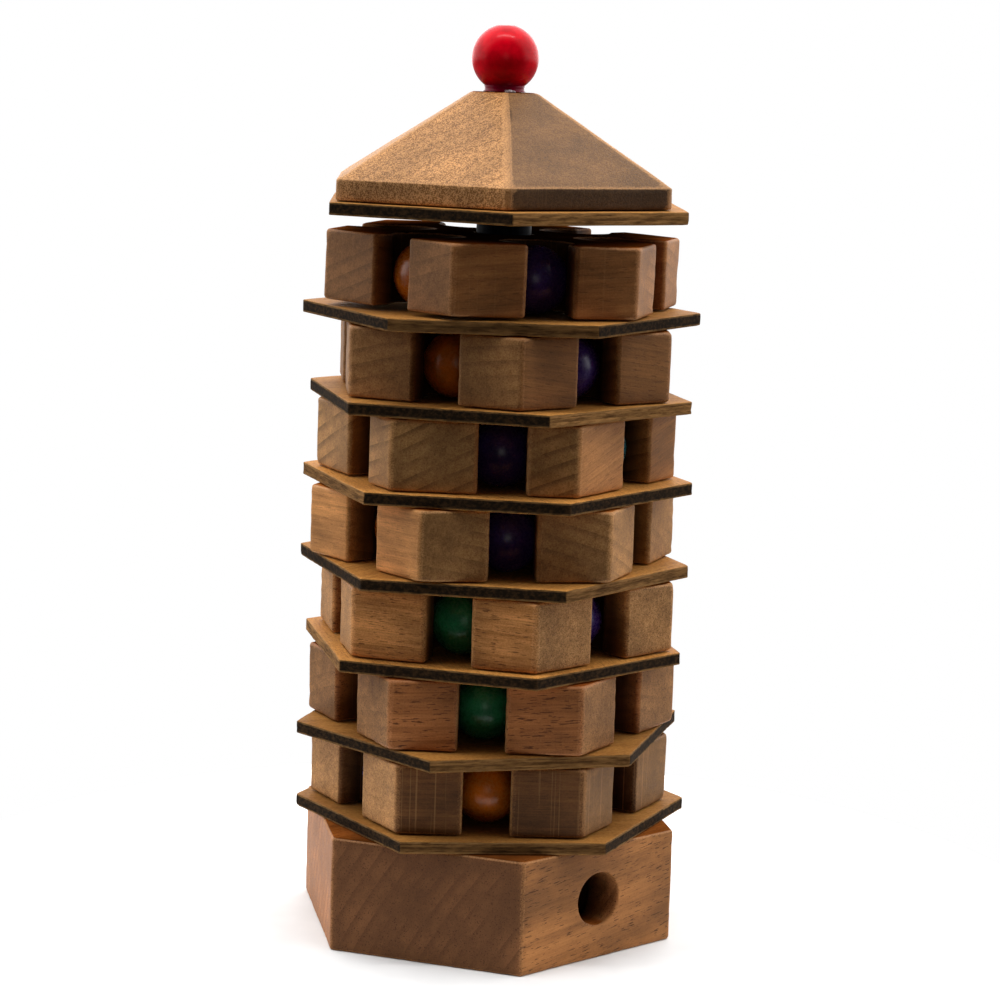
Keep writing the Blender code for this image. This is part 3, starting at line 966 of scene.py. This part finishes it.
def make_roof():
    middle, radius, turn, low, high = hexagon_of("roof_block")
    turn = same_corner(turn, ROOF_CORNER)
    low -= SETTLE
    points = [vertex.co for vertex in frame["nodes"]["roof_block"].data.vertices]
    side = direction(turn + 0.5 * SECTOR)
    upright = math.cos(math.radians(0.5 * SECTOR))
    edge = [point for point in points
            if (point.to_2d() - middle).length > radius - 0.05 * MM]
    slab = max(point.z for point in edge)
    crown = max((point.to_2d() - middle).dot(side) for point in points
                if point.z > high - 0.02 * MM) / upright
    shape = bmesh.new()
    wear_layer = shape.verts.layers.float.new("wear")
    rings = []
    for row_radius, height, wear in roof_rows(radius, crown, low, slab, high):
        tip = min(ROOF_TIP, 0.12 * row_radius)
        corners = [(direction(turn + SECTOR * index) * row_radius, tip) for index in range(6)]
        ring = []
        for index, (corner, tip) in enumerate(corners):
            before = corners[index - 1][0]
            after = corners[(index + 1) % 6][0]
            bend = fillet(before, corner, after, tip)
            start = fillet(corner, after, corners[(index + 2) % 6][0], tip)[0]
            run = [bend[-1].lerp(start, step / 22.0) for step in range(1, 22)]
            for point, worn in [(p, 1.0) for p in bend] + [(p, 0.0) for p in run]:
                place = middle + point
                vertex = shape.verts.new((place.x, place.y, height))
                vertex[wear_layer] = max(worn, wear)
                ring.append(vertex)
        rings.append(ring)
    count = len(rings[0])
    for lower, upper in zip(rings, rings[1:]):
        for index in range(count):
            after = (index + 1) % count
            shape.faces.new((lower[index], lower[after], upper[after], upper[index]))
    shape.faces.new(rings[-1])
    shape.faces.new(list(reversed(rings[0])))
    bmesh.ops.recalc_face_normals(shape, faces=shape.faces)
    weather(shape, ROOF_SEED)

    _, post_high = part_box("central_post")
    mesh = cut_out(to_mesh("roof_block", shape),
                   [post_socket(low - 2.0 * MM, post_high[2] + BORE_CLEARANCE)])
    mesh.shade_smooth()
    mesh.set_sharp_from_angle(angle=math.radians(50.0))
    slope_stain = stain_of(middle, turn, ROOF_STAIN)
    slab_stain = stain_of(middle, turn, ROOF_SLAB_STAIN)
    paint(mesh, middle, 0.0, turn,
          lambda place: slab_stain(place) if place.z < slab - 0.1 * MM else slope_stain(place))
    side, *qualities = ROOF_WOOD
    wood = hardwood("roof wood", side_turn(turn, side) + ROOF_GRAIN_TURN, *qualities,
                    ROOF_WOOD_SEED, ROOF_END_BAND)
    add_piece("wood_roof_block", mesh, wood, "frame", ["roof_block"])


def make_post():
    low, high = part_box("central_post")
    radius = 0.5 * (high[0] - low[0])
    soft = 0.5 * MM
    profile = [(0.0, high[2]), (radius - soft, high[2]), (radius, high[2] - soft),
               (radius, low[2] + soft), (radius - soft, low[2]), (0.0, low[2])]
    add_piece("round_post", to_mesh("central_post", turned(profile, 96)), dark_varnish(),
              "frame", ["central_post"])


def knob_profile(radius, bore, neck, foot):
    """Down the knob from its dimple, over the ball and the flared neck to its foot."""
    dimple = 0.75 * MM
    lip = 0.55 * MM
    crown = math.sqrt(radius ** 2 - (bore + lip) ** 2)
    points = [(0.0, crown - dimple), (0.55 * bore, crown - dimple + 0.03 * MM),
              (0.85 * bore, crown - 0.55 * dimple), (bore, crown - 0.18 * dimple)]
    first = math.asin((bore + lip) / radius)
    last = math.pi - math.asin((neck + 0.15 * MM) / radius)
    steps = 40
    for step in range(steps + 1):
        angle = first + (last - first) * step / steps
        points.append((radius * math.sin(angle), radius * math.cos(angle)))
    waist = points[-1][1]
    drop = waist - foot
    points += [(neck - 0.12 * MM, waist - 0.12 * drop), (neck - 0.02 * MM, waist - 0.22 * drop),
               (neck - 0.18 * MM, waist - 0.45 * drop), (neck - 0.10 * MM, waist - 0.80 * drop),
               (neck + 0.20 * MM, foot + 0.05 * drop), (neck + 0.10 * MM, foot), (0.0, foot)]
    return points


def make_finial():
    low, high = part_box("finial_knob")
    peg_low, peg_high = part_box("finial_peg")
    radius = 0.5 * (high[0] - low[0])
    centre_height = high[2] - radius + KNOB_SETTLE
    bore = 0.5 * (peg_high[0] - peg_low[0])
    profile = knob_profile(radius, bore, NECK_RADIUS, low[2] - SETTLE - centre_height)
    shape = turned(profile, 96)
    middle = middle_of("finial_knob")
    bmesh.ops.translate(shape, vec=(middle.x, middle.y, centre_height), verts=shape.verts)
    # Heights of the painted shade on the neck under the ball
    shade_heights = tuple(low[2] / MM + height for height in KNOB_NECK_SHADE)
    red = lacquer("red lacquer", RED_LACQUER, KNOB_ROUGHNESS, KNOB_SPECULAR, 1, shade_heights)
    add_piece("red_knob", to_mesh("finial_knob", shape), red, "frame",
              ["finial_knob", "finial_peg"])


def make_glue(name, offset, size, seed):
    """A small bead of glue left to dry, placed from the knob's axis and the roof's crown."""
    knob = middle_of("finial_knob")
    _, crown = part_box("roof_block")
    place = Vector((knob.x, knob.y, crown[2])) + Vector(offset)
    shape = bmesh.new()
    bmesh.ops.create_icosphere(shape, subdivisions=4, radius=1.0)
    for vertex in shape.verts:
        swell = 1.0 + 0.35 * noise.noise(vertex.co * 1.7 + Vector((seed, 0.0, 0.0)))
        vertex.co = Vector(tuple(c * s * swell for c, s in zip(vertex.co, size)))
    bmesh.ops.translate(shape, vec=place, verts=shape.verts)
    add_piece(name, to_mesh(name, shape), bpy.data.materials.get("dried glue") or dried_glue(),
              "frame")


# ---------------------------------------------------------------- the set

def add_camera():
    pitch = math.radians(CAMERA_PITCH)
    yaw = math.radians(CAMERA_YAW)
    roll = math.radians(CAMERA_ROLL)
    ahead = Vector((math.sin(yaw) * math.cos(pitch), math.cos(yaw) * math.cos(pitch),
                    -math.sin(pitch)))
    level = Vector((math.cos(yaw), -math.sin(yaw), 0.0))
    up = level.cross(ahead)
    right = level * math.cos(roll) + up * math.sin(roll)
    top = up * math.cos(roll) - level * math.sin(roll)
    data = bpy.data.cameras.new("camera")
    data.lens = CAMERA_LENS
    data.sensor_width = SENSOR_WIDTH
    data.clip_start = 0.01
    camera = bpy.data.objects.new("camera", data)
    turn = Matrix((right, top, -ahead)).transposed().to_4x4()
    camera.matrix_world = Matrix.Translation(CAMERA_PLACE) @ turn
    bpy.context.scene.collection.objects.link(camera)
    bpy.context.scene.camera = camera


def add_light(name, place, aim, size, power, colour=(1.0, 1.0, 1.0)):
    data = bpy.data.lights.new(name, "AREA")
    data.shape = "RECTANGLE"
    data.size, data.size_y = size
    data.energy = power
    data.color = colour
    light = bpy.data.objects.new(name, data)
    light.location = place
    away = Vector(place) - Vector(aim)
    light.rotation_euler = away.to_track_quat("Z", "Y").to_euler()
    bpy.context.scene.collection.objects.link(light)


def add_world():
    """A white tent round the sides, back and top of the object, open to a dark room in front."""
    world = bpy.data.worlds.new("white tent")
    world.use_nodes = True
    bpy.context.scene.world = world
    tree = world.node_tree

    def node(kind, inputs, **settings):
        made = tree.nodes.new(kind)
        for key, value in settings.items():
            setattr(made, key, value)
        for key, value in inputs.items():
            if isinstance(value, bpy.types.NodeSocket):
                tree.links.new(value, made.inputs[key])
            else:
                made.inputs[key].default_value = value
        return made

    ray = node("ShaderNodeTexCoord", {}).outputs["Generated"]
    parts = node("ShaderNodeSeparateXYZ", {"Vector": ray}).outputs
    depth = node("ShaderNodeMapRange", {
        "Value": parts[1], "From Min": TENT_FRONT, "From Max": TENT_BACK,
        "To Min": ROOM_LIGHT, "To Max": TENT_LIGHT}, interpolation_type="SMOOTHSTEP")
    lift = node("ShaderNodeMapRange", {
        "Value": parts[2], "From Min": HORIZON[0], "From Max": HORIZON[1],
        "To Min": TABLE_LIGHT, "To Max": 1.0}, interpolation_type="SMOOTHSTEP")
    strength = node("ShaderNodeMath", {0: depth.outputs[0], 1: lift.outputs[0]},
                    operation="MULTIPLY")
    seen = node("ShaderNodeLightPath", {}).outputs["Is Camera Ray"]
    choice = node("ShaderNodeMix", {0: seen, 2: strength.outputs[0], 3: 1.0})
    background = tree.nodes["Background"]
    tree.links.new(choice.outputs[0], background.inputs["Strength"])
    background.inputs["Color"].default_value = (1.0, 1.0, 1.0, 1.0)


def add_floor():
    """A round white table top under the object."""
    shape = turned([(0.0, 0.0), (FLOOR_RADIUS, 0.0)], 96)
    floor = bpy.data.objects.new("floor", to_mesh("floor", shape))
    floor.data.materials.append(paper_floor())
    bpy.context.scene.collection.objects.link(floor)


def main():
    noise.seed_set(NOISE_SEED)
    add_camera()
    add_world()
    add_floor()
    add_light("ceiling light", CEILING_PLACE, CEILING_AIM, CEILING_SIZE, CEILING_POWER)
    add_light("window", WINDOW_PLACE, WINDOW_AIM, WINDOW_SIZE, WINDOW_POWER, WINDOW_COLOUR)
    bpy.context.scene.view_settings.view_transform = "Standard"

    make_base()
    make_post()
    for level in LEVELS:
        make_rotor(level)
        make_plate(f"plate_{level}", f"plate_{level}", PLATE_WOOD[level], level, ball_hole)
        for index, node in enumerate(balls_of(level)):
            make_ball(node, level, 10 * level + index)
    make_plate("roof_plate", "frame", ROOF_PLATE_WOOD, max(LEVELS) + 1, lambda turn: [])
    make_roof()
    make_finial()
    for name, (offset, size, seed) in GLUE.items():
        make_glue(name, offset, size, seed)


main()
